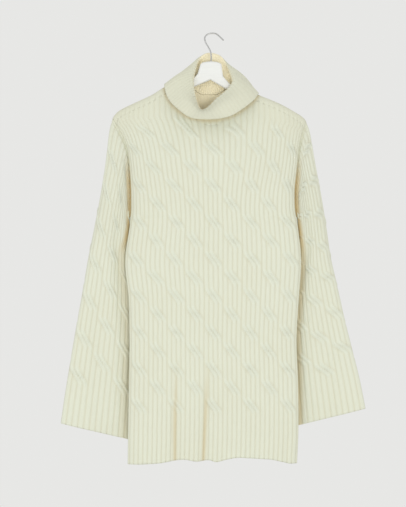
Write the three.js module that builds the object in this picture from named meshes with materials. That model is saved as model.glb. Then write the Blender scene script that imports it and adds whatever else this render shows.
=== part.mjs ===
// Cable-knit turtleneck sweater dress hanging on a white wooden hanger with a wire hook.
// Millimetres, +Z up, the viewer at -Y. The origin is the seat under the bend of the hook.
import * as THREE from 'three';

// Cloth
const WALL = 3;
const SEAM = 0.15;
const RIB_RISE = 2;
const CROSS_RISE = 1.3;
const UNDER_DROP = 0.9;

// Cable pattern: four ribs to a cable, crossings half a drop apart on neighbouring cables
const CABLE_RIBS = 4;
const HALF_RIBS = 2 * CABLE_RIBS;
const CROSS_DROP = 78.5;
const CROSS_TALL = 24;
const PLAIN_HEM = 127.5;

// Body
const BODY_CABLES = 9;
const BODY_STEPS = BODY_CABLES * HALF_RIBS + 4;
const HEM_Z = -925;
const SQUEEZE_Z = -260;
const SQUEEZE_TALL = 110;
const RIDGE_ROWS = [16, 7, 0];
const RIDGE_DEPTH = 12;
const NECK_STEP = 26;
const NECK_FLAT = 0.85;
const FOLD_ROW_Z = -868;
const HIGHEST_CROSSING_Z = -190;
const FAN_OUT = 0.2;
const CREASE_POWER = 12;

// Outline of the body, from the hem up the sides and round the armholes
const BODY_EDGE = [
  { z: -925, left: -183, right: 180 },
  { z: -853, left: -182, right: 183 },
  { z: -744, left: -180, right: 182 },
  { z: -656, left: -179, right: 179 },
  { z: -566, left: -181, right: 184 },
  { z: -500, left: -188, right: 188.5 },
  { z: -462, left: -187, right: 188.6 },
  { z: -436, left: -178, right: 186.5 },
  { z: -412, left: -174.8, right: 182.5 },
  { z: -393.2, left: -171.0, right: 176 },
  { z: -384, left: -169.3, right: 171.5 },
  { z: -370, left: -168.9, right: 169.5 },
  { z: -335, left: -170.5, right: 170 },
  { z: -303, left: -174.1, right: 172.5 },
  { z: -254, left: -181.9, right: 181 },
  { z: -209, left: -199, right: 191 },
  { z: -187, left: -213, right: 200 },
  { z: -182, left: -216, right: 200 },
];
const ARMPIT_Z = -393.2;

// Shoulder seam, carried on over the neck as the line that the wood lies under
const SHOULDER = [
  { x: -216, z: -182 },
  { x: -212, z: -175 },
  { x: -200.6, z: -164.3 },
  { x: -168.6, z: -148.4 },
  { x: -131.4, z: -130.9 },
  { x: -106.9, z: -115.5 },
  { x: -86, z: -105 },
  { x: -6, z: -74 },
  { x: 72, z: -118 },
  { x: 98, z: -130.9 },
  { x: 144.9, z: -150.7 },
  { x: 184.3, z: -172.9 },
  { x: 194, z: -180 },
  { x: 200, z: -187 },
];

// Long soft folds down the front, as valleys: middle, width and depth
const FRONT_FOLDS = [
  { x: -75, width: 26, depth: 4 },
  { x: -16, width: 24, depth: 4.5 },
  { x: 96, width: 34, depth: 3 },
];

// Panels: side of the seam plane, bottom of the neckline, depth at chest and waist past the ridge, hem lift
const FRONT = { side: -1, neckZ: -181, chest: 14, waist: 11, hemLift: 8, folds: FRONT_FOLDS };
const BACK = { side: 1, neckZ: -130, chest: 9, waist: 8, hemLift: 0, folds: [] };

// Armhole: how far each half stands off the seam plane
const ARMHOLE_BULGE = 9.3;
const CORNER_WALL = 4.5;
const ARMPIT_LEAN = 0.85;

// Sleeves, by the share of the way from cuff to shoulder: outer edge, inner edge and half thickness
const SLEEVE_CABLES = 8;
const SLEEVE_STEPS = SLEEVE_CABLES * HALF_RIBS;
const SLEEVE_LONG = 672;
const PLAIN_CUFF = 109;
const FOLD_EXTRA = 2.5;
const LEFT_SLEEVE = [
  { up: 0, outX: -327.7, outY: 12, outZ: -838, inX: -135, inY: 42, inZ: -885, half: 13, crowd: 0 },
  { up: 0.1, outX: -318, outY: 12, outZ: -772, inX: -133, inY: 42, inZ: -818, half: 14, crowd: 0 },
  { up: 0.3, outX: -294.6, outY: 10, outZ: -634, inX: -133, inY: 42, inZ: -683, half: 16, crowd: 0 },
  { up: 0.42, outX: -279.5, outY: 9, outZ: -552, inX: -144, inY: 44, inZ: -600, half: 18, crowd: 0.2 },
  { up: 0.52, outX: -267.2, outY: 8, outZ: -482, inX: -160, inY: 43.5, inZ: -532, half: 20, crowd: 0.5 },
  { up: 0.6, outX: -256, outY: 7, outZ: -427, inX: -178, inY: 37, inZ: -484, half: 23, crowd: 0.9 },
  { up: 0.67, outX: -247, outY: 5, outZ: -380, inX: -187, inY: 26, inZ: -453, half: 26, crowd: 1.1 },
  { up: 0.75, outX: -238, outY: 4, outZ: -328, inX: -186, inY: 16, inZ: -431, half: 26, crowd: 1.1 },
  { up: 0.84, outX: -229.5, outY: 2, outZ: -270, inX: -187.3, inY: 8, inZ: -415, half: 22, crowd: 0.9 },
  { up: 0.93, outX: -223, outY: 0, outZ: -214, inX: -183.2, inY: 3, inZ: -404, half: 16.5, crowd: 0.7 },
  { up: 0.965, outX: -220, outY: 0, outZ: -198, inX: -181.8, inY: 1, inZ: -399.5, half: 14.5, crowd: 0.6 },
  { up: 0.985, outX: -218, outY: 0, outZ: -190, inX: -178.2, inY: 0.4, inZ: -396.6, half: 12, crowd: 0.6 },
  { up: 1, outX: -216, outY: 0, outZ: -182, inX: -171.0, inY: 0, inZ: -393.2, half: 9.3, crowd: 0.6 },
];
const RIGHT_SLEEVE = [
  { up: 0, outX: 328.5, outY: 12, outZ: -806, inX: 135, inY: 42, inZ: -856, half: 13, crowd: 0 },
  { up: 0.1, outX: 315, outY: 12, outZ: -740, inX: 134, inY: 42, inZ: -792, half: 14, crowd: 0 },
  { up: 0.3, outX: 284, outY: 10, outZ: -618, inX: 138, inY: 42, inZ: -668, half: 16, crowd: 0 },
  { up: 0.42, outX: 265, outY: 9, outZ: -535, inX: 148, inY: 44, inZ: -588, half: 18, crowd: 0.2 },
  { up: 0.52, outX: 252, outY: 8, outZ: -480, inX: 165, inY: 43.5, inZ: -527, half: 20, crowd: 0.5 },
  { up: 0.6, outX: 244.5, outY: 7, outZ: -430, inX: 184, inY: 37, inZ: -485, half: 23, crowd: 0.9 },
  { up: 0.67, outX: 238, outY: 5, outZ: -386, inX: 195, inY: 26, inZ: -454, half: 26, crowd: 1.1 },
  { up: 0.75, outX: 230, outY: 4, outZ: -336, inX: 199, inY: 16, inZ: -433, half: 25, crowd: 1.1 },
  { up: 0.84, outX: 219, outY: 2, outZ: -277, inX: 198, inY: 8, inZ: -416, half: 21, crowd: 0.9 },
  { up: 0.93, outX: 209, outY: 0, outZ: -219, inX: 190.5, inY: 3, inZ: -404, half: 16, crowd: 0.7 },
  { up: 0.965, outX: 205, outY: 0, outZ: -203, inX: 186.5, inY: 1, inZ: -399.5, half: 14, crowd: 0.6 },
  { up: 0.985, outX: 202.5, outY: 0, outZ: -195, inX: 182.5, inY: 0.4, inZ: -396.6, half: 12, crowd: 0.6 },
  { up: 1, outX: 200, outY: 0, outZ: -187, inX: 176, inY: 0, inZ: -393.2, half: 9.3, crowd: 0.6 },
];

// Collar, once round from the left by the front: the fold's ridge and the turned-down edge
const COLLAR_RIBS = 40;
const COLLAR_STEPS = 2 * COLLAR_RIBS;
const FOLD_RADIUS = 4;
const TURN_STEP = 0.02;
const COLLAR_START = 3;
const NECK_GAP = 0.4;
const COLLAR = [
  { turn: 0, foldX: -37, foldY: 0, foldZ: -76, edgeX: -104, edgeY: -2, edgeZ: -108, swell: 6 },
  { turn: 0.03, foldX: -40, foldY: -7, foldZ: -88, edgeX: -104.5, edgeY: -15, edgeZ: -114, swell: 7 },
  { turn: 0.07, foldX: -42, foldY: -14, foldZ: -100, edgeX: -99, edgeY: -27, edgeZ: -134, swell: 7 },
  { turn: 0.14, foldX: -40, foldY: -21, foldZ: -124, edgeX: -82, edgeY: -44, edgeZ: -159, swell: 7 },
  { turn: 0.21, foldX: -34, foldY: -27, foldZ: -150, edgeX: -56, edgeY: -57, edgeZ: -178, swell: 7 },
  { turn: 0.265, foldX: -26, foldY: -30, foldZ: -164, edgeX: -27, edgeY: -64, edgeZ: -186, swell: 7 },
  { turn: 0.31, foldX: -12, foldY: -30, foldZ: -160, edgeX: 3, edgeY: -65, edgeZ: -187, swell: 7 },
  { turn: 0.36, foldX: 6, foldY: -28, foldZ: -142, edgeX: 33, edgeY: -59, edgeZ: -180, swell: 7 },
  { turn: 0.42, foldX: 29, foldY: -21, foldZ: -122, edgeX: 61, edgeY: -48, edgeZ: -166, swell: 7 },
  { turn: 0.465, foldX: 41, foldY: -15, foldZ: -105, edgeX: 85, edgeY: -31, edgeZ: -147, swell: 7 },
  { turn: 0.495, foldX: 40, foldY: -6, foldZ: -93, edgeX: 96, edgeY: -14, edgeZ: -131, swell: 7 },
  { turn: 0.52, foldX: 37, foldY: 3, foldZ: -84, edgeX: 98, edgeY: 1, edgeZ: -125, swell: 6 },
  { turn: 0.6, foldX: 28, foldY: 17, foldZ: -62, edgeX: 86, edgeY: 28, edgeZ: -124, swell: 7 },
  { turn: 0.7, foldX: 15, foldY: 24, foldZ: -44, edgeX: 45, edgeY: 46, edgeZ: -136, swell: 6 },
  { turn: 0.8, foldX: -8, foldY: 26, foldZ: -38, edgeX: -6, edgeY: 48, edgeZ: -140, swell: 5 },
  { turn: 0.88, foldX: -23, foldY: 21, foldZ: -44, edgeX: -52, edgeY: 43, edgeZ: -136, swell: 5 },
  { turn: 0.95, foldX: -32, foldY: 11, foldZ: -58, edgeX: -88, edgeY: 25, edgeZ: -118, swell: 6 },
  { turn: 1, foldX: -37, foldY: 0, foldZ: -76, edgeX: -104, edgeY: -2, edgeZ: -108, swell: 6 },
];

// Wooden hanger: rounded under the shoulders, a flat head, and an underside like a wide V
const WOOD_THICK = 11;
const WOOD_RIM = 1.2;
const WOOD_ROUNDING = 7;
const WOOD_DROP = 5.2;
const WOOD_HEAD = [
  { x: -60, z: -99 },
  { x: -38, z: -91 },
  { x: -33, z: -85 },
  { x: -27, z: -65 },
  { x: -16, z: -60 },
  { x: -4.3, z: -58.7 },
  { x: 8, z: -60 },
  { x: 18, z: -65 },
  { x: 20, z: -91 },
  { x: 34, z: -105 },
  { x: 58, z: -119.5 },
];
const WOOD_UNDERSIDE = [
  { x: 182, z: -184 },
  { x: 176, z: -196 },
  { x: 145, z: -182 },
  { x: 98, z: -161 },
  { x: 72, z: -146 },
  { x: 29, z: -119.5 },
  { x: -5.6, z: -99 },
  { x: -41.7, z: -114.6 },
  { x: -100, z: -144 },
  { x: -150, z: -167 },
  { x: -190, z: -184 },
  { x: -198, z: -176 },
];

// Wire hook, along the middle of the wire from the wood to the free end
const WIRE = 3.2;
const HOOK = [
  { x: -4.3, z: -58.3 },
  { x: -3.9, z: -47.3 },
  { x: -5.6, z: -37.4 },
  { x: -10.5, z: -27.5 },
  { x: -16.1, z: -17.6 },
  { x: -17.8, z: -8.5 },
  { x: -13.6, z: -1.9 },
  { x: -7, z: 1 },
  { x: 0, z: 1.6 },
  { x: 7, z: 0.2 },
  { x: 14.2, z: -5.5 },
  { x: 22, z: -13 },
];

const CREAM = 0xe3e3cd;
const WHITE = 0xeeeeea;
const STEEL = 0x9a9a98;

const clamp = THREE.MathUtils.clamp;
const lerp = THREE.MathUtils.lerp;
const smooth = (x, from, to) => THREE.MathUtils.smoothstep(x, from, to);
const vec = (x, y, z) => new THREE.Vector3(x, y, z);

// Reads one column of a table smoothly, by the values in its key column
function reading(table, key, column) {
  const last = table.length - 1;
  const rising = table[last][key] > table[0][key] ? table : [...table].reverse();
  const xs = rising.map(row => row[key]);
  const ys = rising.map(row => row[column]);
  const slopes = xs.map((x, i) => {
    const a = Math.max(i - 1, 0);
    const b = Math.min(i + 1, last);
    return (ys[b] - ys[a]) / (xs[b] - xs[a]);
  });
  return x => {
    if (x <= xs[0]) return ys[0];
    if (x >= xs[last]) return ys[last];
    let i = 0;
    while (xs[i + 1] < x) i += 1;
    const step = xs[i + 1] - xs[i];
    const t = (x - xs[i]) / step;
    const t2 = t * t;
    const t3 = t2 * t;
    const from = (2 * t3 - 3 * t2 + 1) * ys[i] + (t3 - 2 * t2 + t) * step * slopes[i];
    const to = (3 * t2 - 2 * t3) * ys[i + 1] + (t3 - t2) * step * slopes[i + 1];
    return from + to;
  };
}

// Superellipse height over a half width of one
const rounded = (s, power) => Math.pow(Math.max(1 - Math.pow(Math.abs(s), power), 0), 1 / power);

// Finds the places along a curve that cut it into equal lengths, each length weighed by weight(p)
function evenPlaces(curve, count, weight = () => 1) {
  const samples = 160;
  const places = [];
  const lengths = [0];
  for (let k = 0; k <= samples; k += 1) {
    places.push((1 - Math.cos((Math.PI * k) / samples)) / 2);
  }
  for (let k = 1; k <= samples; k += 1) {
    const piece = curve(places[k]).distanceTo(curve(places[k - 1]));
    lengths.push(lengths[k - 1] + piece * weight((places[k] + places[k - 1]) / 2));
  }
  const total = lengths[samples];
  const even = [];
  let k = 1;
  for (let i = 0; i <= count; i += 1) {
    const goal = (total * i) / count;
    while (k < samples && lengths[k] < goal) k += 1;
    const share = clamp((goal - lengths[k - 1]) / (lengths[k] - lengths[k - 1]), 0, 1);
    even.push(lerp(places[k - 1], places[k], share));
  }
  return even;
}

// A closed shell under construction: shared points and the triangles between them
class Shell {
  constructor() {
    this.points = [];
    this.faces = [];
  }

  add(point) {
    this.points.push(point);
    return this.points.length - 1;
  }

  // Fills the strip between two chains of { at, id }, seen from outside with a on the left, both going up.
  // Level with each other, the chain on the left steps first, unless rightFirst.
  zip(a, b, rightFirst = false) {
    let i = 0;
    let j = 0;
    while (i < a.length - 1 || j < b.length - 1) {
      const left = i < a.length - 1 ? a[i].at + a[i + 1].at : Infinity;
      const right = j < b.length - 1 ? b[j].at + b[j + 1].at : Infinity;
      if (left < right || (left === right && !rightFirst)) {
        this.face(a[i].id, b[j].id, a[i + 1].id);
        i += 1;
      } else {
        this.face(a[i].id, b[j].id, b[j + 1].id);
        j += 1;
      }
    }
  }

  face(a, b, c) {
    if (a !== b && b !== c && c !== a) this.faces.push(a, b, c);
  }

  geometry() {
    const positions = this.points.flatMap(p => [p.x, p.y, p.z]);
    const geometry = new THREE.BufferGeometry();
    geometry.setAttribute('position', new THREE.Float32BufferAttribute(positions, 3));
    geometry.setIndex(this.faces);
    return geometry;
  }
}

// Cable blocks across a piece: each has its first and last half rib and whether its crossings are odd
function cableBlocks(cables, firstStep) {
  return Array.from({ length: cables }, (_, k) => ({
    first: firstStep + k * HALF_RIBS,
    last: firstStep + (k + 1) * HALF_RIBS,
    odd: k % 2 === 1,
    cable: true,
  }));
}

const plainBlock = (first, last) => ({ first, last, odd: false, cable: false });

// Rows at the lower and upper ends of every crossing, from the hem or cuff up to a limit
function crossingRows(start, limit) {
  const rows = [];
  for (let level = 0; ; level += 1) {
    const low = start + (level * CROSS_DROP) / 2 - CROSS_TALL / 2;
    if (low + CROSS_TALL > limit) return rows;
    const odd = level % 2 === 1;
    rows.push({ height: low, crossing: 'low', odd }, { height: low + CROSS_TALL, crossing: 'high', odd });
  }
}

// How far a half rib stands out of the wall at a row of its block
function relief(block, step, row) {
  if (row.smoothed) return 0;
  const place = step - block.first;
  if (place % 2 === 0) return 0;
  const rise = row.faded ? RIB_RISE / 2 : RIB_RISE;
  if (!block.cable || !row.crossing || row.odd !== block.odd) return rise;
  const over = row.crossing === 'high' ? place < CABLE_RIBS : place > CABLE_RIBS;
  return over ? rise + CROSS_RISE : rise - UNDER_DROP;
}

// Outer face of a knitted piece: ribs between the rows, and two ribs over two at each crossing
function knitOuter(shell, blocks, rows, outerPoint, wrap) {
  const ids = new Map();
  const idOf = (block, step, j) => {
    const key = `${wrap(step)},${j}`;
    if (!ids.has(key)) ids.set(key, shell.add(outerPoint(wrap(step), j, relief(block, step, rows[j]))));
    return ids.get(key);
  };
  const owns = (block, row) => !block.cable || row.always || (row.crossing && row.odd === block.odd);
  const crosses = (block, low, high) => block.cable && low.odd === block.odd && high.odd === block.odd
    && low.crossing === 'low' && high.crossing === 'high';
  for (const block of blocks) {
    const own = rows.map((row, j) => j).filter(j => owns(block, rows[j]));
    const chain = (step, from, to) => {
      const links = [];
      const edge = step === block.first || step === block.last;
      for (let j = from; j <= to; j += 1) {
        if (edge || j === from || j === to) links.push({ at: rows[j].height, id: idOf(block, step, j) });
      }
      return links;
    };
    for (let n = 0; n < own.length - 1; n += 1) {
      const low = own[n];
      const high = own[n + 1];
      if (crosses(block, rows[low], rows[high])) {
        const top = k => idOf(block, block.first + k, high);
        const bottom = k => idOf(block, block.first + k, low);
        for (let k = 0; k < CABLE_RIBS; k += 1) {
          shell.face(top(0), bottom(k), bottom(k + 1));
          shell.face(top(k), bottom(k + CABLE_RIBS), bottom(k + CABLE_RIBS + 1));
          shell.face(top(k), bottom(k + CABLE_RIBS + 1), top(k + 1));
          shell.face(top(k + CABLE_RIBS), bottom(HALF_RIBS), top(k + CABLE_RIBS + 1));
        }
      } else {
        for (let step = block.first; step < block.last; step += 1) {
          shell.zip(chain(step, low, high), chain(step + 1, low, high));
        }
      }
    }
  }
  const blockOf = step => blocks.find(block => step >= block.first && step <= block.last);
  const at = (step, j) => idOf(blockOf(step), step, j);
  return {
    row: (j, places) => places.map((place, step) => ({ at: place, id: at(step, j) })),
    column: step => rows.map((row, j) => ({ at: row.height, id: at(step, j) })),
  };
}

// Inner face: a plain coarse grid of the given steps, with its own rows at each step
function plainInner(shell, steps, rows, rowsAt, innerPoint, wrap) {
  const ids = new Map();
  const idOf = (step, j) => {
    const key = `${wrap(step)},${j}`;
    if (!ids.has(key)) ids.set(key, shell.add(innerPoint(wrap(step), j)));
    return ids.get(key);
  };
  const column = step => rowsAt(step).map(j => ({ at: rows[j].height, id: idOf(step, j) }));
  for (let n = 0; n < steps.length - 1; n += 1) {
    shell.zip(column(steps[n + 1]), column(steps[n]));
  }
  return {
    row: (j, places) => steps.map(step => ({ at: places[step], id: idOf(step, j) })),
    column,
  };
}

const countTo = last => Array.from({ length: last + 1 }, (_, i) => i);
const unwrapped = step => step;
const offset = (grid, normals, step, j, distance) => {
  return grid[j][step].clone().addScaledVector(normals[j][step], distance);
};

// Normals of a grid by central differences, pointing out of the cloth's outer face
function gridNormals(grid, wraps) {
  const last = grid[0].length - 1;
  return grid.map((points, j) => points.map((point, i) => {
    const left = points[i > 0 ? i - 1 : wraps ? last - 1 : 0];
    const right = points[i < last ? i + 1 : wraps ? 1 : last];
    const low = grid[Math.max(j - 1, 0)][i];
    const high = grid[Math.min(j + 1, grid.length - 1)][i];
    return right.clone().sub(left).cross(high.clone().sub(low)).normalize();
  }));
}

// Body

const leftEdge = reading(BODY_EDGE, 'z', 'left');
const rightEdge = reading(BODY_EDGE, 'z', 'right');
const shoulderLine = reading(SHOULDER, 'x', 'z');
const LEFT_TIP = SHOULDER[0];
const RIGHT_TIP = SHOULDER.at(-1);

const bodyRows = [
  { height: HEM_Z, always: true },
  { height: FOLD_ROW_Z, always: true },
  ...crossingRows(HEM_Z + PLAIN_HEM, HIGHEST_CROSSING_Z),
  ...RIDGE_ROWS.map(below => ({
    height: SQUEEZE_Z + SQUEEZE_TALL + RIDGE_ROWS[0] - below,
    always: true,
    faded: below < RIDGE_ROWS[0],
    smoothed: below === 0,
    below,
  })),
];
const BODY_TOP = bodyRows.length - 1;
const ARMPIT_ROW = bodyRows.findIndex(row => row.height > ARMPIT_Z - 1);

// The cables spread apart towards the shoulders
const spread = (t, z) => t + FAN_OUT * smooth(z, -400, -230) * (t - t * t * t);

// Place down an armhole, from 0 at the shoulder tip to 1 at the armpit, and how far the cloth stands off there
const armholeShare = (z, tip) => clamp((tip.z - z) / (tip.z - ARMPIT_Z), 0, 1);
const armholeBulge = share => SEAM + ARMHOLE_BULGE * rounded(2 * share - 1, 2.5);

// Top edge of a panel at a half rib: the shoulder seam, or the neckline cut down from it
function topZ(panel, x, step) {
  const toSide = Math.min(step, BODY_STEPS - step);
  const intoNeck = clamp((toSide - NECK_STEP) / (NECK_FLAT * (BODY_STEPS / 2 - NECK_STEP)), 0, 1);
  return lerp(shoulderLine(x), panel.neckZ, (1 - Math.cos(Math.PI * intoNeck)) / 2);
}

// Height of a row at a half rib: level up the body, then squeezed under the shoulders and the neckline
function rowZ(panel, row, x, step) {
  const top = topZ(panel, x, step);
  if (row.below !== undefined) return top - row.below;
  if (row.height <= SQUEEZE_Z) {
    return row.height + panel.hemLift * smooth(-Math.abs(x), -70, 0) * smooth(-row.height, 840, -HEM_Z);
  }
  const share = (row.height - SQUEEZE_Z) / SQUEEZE_TALL;
  const tall = top - RIDGE_ROWS[0] - SQUEEZE_Z;
  return SQUEEZE_Z + SQUEEZE_TALL * share + (tall - SQUEEZE_TALL) * share * share;
}

// Depth of a panel off the seam plane: a rounded ridge over the wood, then fuller down the chest
function bodyDepth(panel, x, z) {
  const down = shoulderLine(x) - z;
  const ridge = RIDGE_DEPTH * Math.sqrt(1 - Math.pow(1 - clamp(down / RIDGE_ROWS[0], 0, 1), 2));
  return ridge + panel.chest * smooth(down, 10, 190) - (panel.chest - panel.waist) * smooth(down, 330, 480);
}

function foldDepth(panel, x, z) {
  const grown = smooth(-z, 620, 860);
  return panel.folds.reduce((sum, fold) => {
    return sum + grown * fold.depth * Math.exp(-2 * Math.pow((x - fold.x) / fold.width, 2));
  }, 0);
}

// Height of the section over a half width of one: rounded at a side seam, rising from a crease at an armhole
function sectionShape(s, bulge, power) {
  return lerp(rounded(s, power), 1 - Math.pow(Math.abs(s), CREASE_POWER), clamp(bulge / 6, 0, 1));
}

// One bare panel: points by row and half rib, counted to the right as seen from outside
function bodyGrid(panel) {
  const grid = bodyRows.map(row => {
    const onRidge = row.below !== undefined;
    const level = onRidge ? LEFT_TIP.z : row.height;
    const width = rightEdge(level) - leftEdge(level);
    const bulgeAt = (z, tip) => (z > ARMPIT_Z - 1 ? armholeBulge(armholeShare(z, tip)) : SEAM);
    const power = onRidge ? 5 : lerp(3, 5, smooth(level, -400, -200));
    const depth = row.below === 0 ? 0 : onRidge ? RIDGE_DEPTH : bodyDepth(panel, -60, level);
    const section = place => {
      const s = 2 * place - 1;
      return vec((s * width) / 2, depth * sectionShape(s, bulgeAt(level, LEFT_TIP), power), 0);
    };
    return evenPlaces(section, BODY_STEPS).map((place, step) => {
      const t = spread(2 * place - 1, level);
      const z = rowZ(panel, row, lerp(LEFT_TIP.x, RIGHT_TIP.x, (1 + t) / 2), step);
      const x = lerp(leftEdge(z), rightEdge(z), (1 + t) / 2);
      const bulge = bulgeAt(z, t < 0 ? LEFT_TIP : RIGHT_TIP);
      const full = bodyDepth(panel, x, z) - foldDepth(panel, x, z);
      const onSeam = row.below === 0 && Math.min(step, BODY_STEPS - step) <= NECK_STEP;
      const off = onSeam ? SEAM : bulge + Math.max(full - bulge, 0) * sectionShape(t, bulge, power);
      return vec(x, panel.side * off, z);
    });
  });
  return panel.side < 0 ? grid : grid.map(points => points.reverse());
}

// The seam at one armhole, from the armpit up: points, the wall's direction and the way to the sleeve
function armholeSeam(hand) {
  const tip = hand < 0 ? LEFT_TIP : RIGHT_TIP;
  const edge = hand < 0 ? leftEdge : rightEdge;
  const places = bodyRows.slice(ARMPIT_ROW).map((row, k) => {
    const z = k === 0 ? ARMPIT_Z : rowZ(FRONT, row, tip.x, 0);
    return { x: edge(z), z, bulge: armholeBulge(armholeShare(z, tip)) };
  });
  const last = places.length - 1;
  return places.map((place, k) => {
    const below = places[Math.max(k - 1, 0)];
    const above = places[Math.min(k + 1, last)];
    const along = vec(above.x - below.x, 0, above.z - below.z);
    const slope = (above.bulge - below.bulge) / along.length();
    if (k === 0) along.set(-hand * ARMPIT_LEAN, 0, 1);
    along.normalize();
    const corner = k === 0 || k === last;
    const tilt = Math.hypot(1, slope);
    const inward = along.clone().multiplyScalar(corner ? (k === 0 ? 1 : -1) : slope / tilt);
    const out = vec(hand * along.z, 0, -hand * along.x);
    return { ...place, out, inward, inwardY: corner ? 0 : 1 / tilt, reach: corner ? CORNER_WALL : WALL, corner };
  });
}

// Outer or inner point of an armhole seam, on the front or back side, moved across the gap by shift
function seamPoint(place, side, inside, shift) {
  const reach = inside ? place.reach : 0;
  const point = vec(place.x, side * (place.bulge - reach * place.inwardY), place.z);
  return point.addScaledVector(place.inward, reach).addScaledVector(place.out, shift);
}

// Seam edges face along the seam plane, so that the two panels' rims are flat and parallel
function setSeamNormals(grid, normals) {
  for (let step = 0; step <= BODY_STEPS; step += BODY_STEPS) {
    const hand = Math.sign(grid[0][step].x);
    for (let j = 0; j < ARMPIT_ROW; j += 1) {
      const low = grid[Math.max(j - 1, 0)][step];
      const high = grid[j + 1][step];
      normals[j][step] = vec(hand * (high.z - low.z), 0, hand * (low.x - high.x)).normalize();
    }
  }
  for (let step = 0; step <= BODY_STEPS; step += 1) {
    if (Math.min(step, BODY_STEPS - step) > NECK_STEP) continue;
    const a = grid[BODY_TOP][Math.max(step - 1, 0)];
    const b = grid[BODY_TOP][Math.min(step + 1, BODY_STEPS)];
    const right = Math.sign(b.x - a.x);
    normals[BODY_TOP][step] = vec(right * (a.z - b.z), 0, right * (b.x - a.x)).normalize();
  }
}

// Half ribs that the plain inner face of a panel keeps: more at the rounded sides and beside the neck
function onInnerFace(step) {
  const toSide = Math.min(step, BODY_STEPS - step);
  const besideNeck = toSide > NECK_STEP && toSide < NECK_STEP + 4;
  return step % 4 === 2 || toSide === 0 || toSide === 4 || toSide === 8 || besideNeck;
}

function bodyPanel(panel) {
  const grid = bodyGrid(panel);
  const normals = gridNormals(grid, false);
  const seams = { 0: armholeSeam(panel.side), [BODY_STEPS]: armholeSeam(-panel.side) };
  setSeamNormals(grid, normals);
  for (const [step, places] of Object.entries(seams)) {
    places.forEach((place, k) => {
      grid[ARMPIT_ROW + k][step] = seamPoint(place, panel.side, false, -SEAM);
    });
  }
  const shell = new Shell();
  const blocks = [
    plainBlock(0, 2),
    ...cableBlocks(BODY_CABLES, 2),
    plainBlock(BODY_STEPS - 2, BODY_STEPS),
  ];
  const outer = (step, j, rise) => offset(grid, normals, step, j, rise);
  const inner = (step, j) => {
    const onArmhole = seams[step] && j >= ARMPIT_ROW;
    if (onArmhole) return seamPoint(seams[step][j - ARMPIT_ROW], panel.side, true, -SEAM);
    return offset(grid, normals, step, j, -WALL);
  };
  const allSteps = countTo(BODY_STEPS);
  const innerSteps = allSteps.filter(onInnerFace);
  const rowsAt = step => countTo(BODY_TOP).filter(j => {
    const onArmhole = j >= ARMPIT_ROW && seams[step];
    return onArmhole || j % 6 === 0 || Math.abs(j - ARMPIT_ROW) < 2 || j >= BODY_TOP - 2;
  });
  const outerFace = knitOuter(shell, blocks, bodyRows, outer, unwrapped);
  const innerFace = plainInner(shell, innerSteps, bodyRows, rowsAt, inner, unwrapped);
  shell.zip(innerFace.column(0), outerFace.column(0));
  shell.zip(outerFace.column(BODY_STEPS), innerFace.column(BODY_STEPS));
  shell.zip(outerFace.row(0, allSteps), innerFace.row(0, allSteps));
  shell.zip(innerFace.row(BODY_TOP, allSteps), outerFace.row(BODY_TOP, allSteps));
  return { geometry: shell.geometry(), grid, normals };
}

// Tubes: a ribbed outer face from the open end to a seam loop, and a plain inner face

function tube({ rows, blocks, rings, steps, innerSteps, innerRows, innerDepth, seamOuter, seamInner }) {
  const grid = rings.map(ring => ring.points);
  const normals = gridNormals(grid, true);
  const last = rows.length - 1;
  const wrap = step => step % steps;
  const shell = new Shell();
  const outer = (step, j, rise) => offset(grid, normals, step, j, rise);
  const inner = (step, j) => offset(grid, normals, step, j, -innerDepth(step));
  const outerFace = knitOuter(shell, blocks, rows, outer, wrap);
  const innerFace = plainInner(shell, innerSteps, rows, () => innerRows, inner, wrap);
  const closed = chain => {
    const links = chain.map(({ at, point }) => ({ at, id: shell.add(point) }));
    return [...links, { at: rings[last].shares[steps], id: links[0].id }];
  };
  const outerSeam = closed(seamOuter);
  const innerSeam = closed(seamInner);
  shell.zip(outerFace.row(0, countTo(steps)), innerFace.row(0, countTo(steps)));
  shell.zip(outerSeam, outerFace.row(last, rings[last].shares));
  shell.zip(innerFace.row(last, rings[last].shares), innerSeam);
  shell.zip(innerSeam, outerSeam, true);
  return shell.geometry();
}

// Sleeves

const sleeveRows = [
  { height: 0, always: true },
  { height: 52, always: true },
  ...crossingRows(PLAIN_CUFF, SLEEVE_LONG - 40),
  { height: 0.965 * SLEEVE_LONG, always: true },
  { height: 0.985 * SLEEVE_LONG, always: true, faded: true },
];

// A ring of a sleeve: points by half rib, to the right from outside, and how far round each lies
function sleeveRing(table, hand, height) {
  const up = height / SLEEVE_LONG;
  const at = column => reading(table, 'up', column)(up);
  const outer = vec(at('outX'), at('outY'), at('outZ'));
  const across = vec(at('inX'), at('inY'), at('inZ')).sub(outer);
  const edge = hand < 0 ? leftEdge : rightEdge;
  const tip = hand < 0 ? LEFT_TIP : RIGHT_TIP;
  const half = at('half');
  const crowd = at('crowd');
  const face = vec(0, -1, 0);
  face.addScaledVector(across, -face.dot(across) / across.lengthSq()).normalize();
  const bow = w => smooth(up, 0.62, 1) * (edge(lerp(tip.z, ARMPIT_Z, w)) - lerp(tip.x, edge(ARMPIT_Z), w));
  const wall = (w, side) => {
    const point = outer.clone().addScaledVector(across, w).add(vec(bow(w), 0, 0));
    return point.addScaledVector(face, -side * half * rounded(2 * w - 1, 2.5));
  };
  const nearSide = hand < 0 ? -1 : 1;
  const halves = [nearSide, -nearSide].map(side => {
    const places = evenPlaces(w => wall(w, side), SLEEVE_STEPS / 2, w => 1 + crowd * w * w);
    return places.map(w => ({ point: wall(w, side), share: side === nearSide ? w : 2 - w }));
  });
  const round = [...halves[0], ...halves[1].slice(0, -1).reverse()];
  return { points: round.map(place => place.point), shares: round.map(place => place.share) };
}

// Half ribs from the nearer folded edge of a sleeve
const toFold = step => Math.min(step % (SLEEVE_STEPS / 2), SLEEVE_STEPS / 2 - (step % (SLEEVE_STEPS / 2)));

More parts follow.
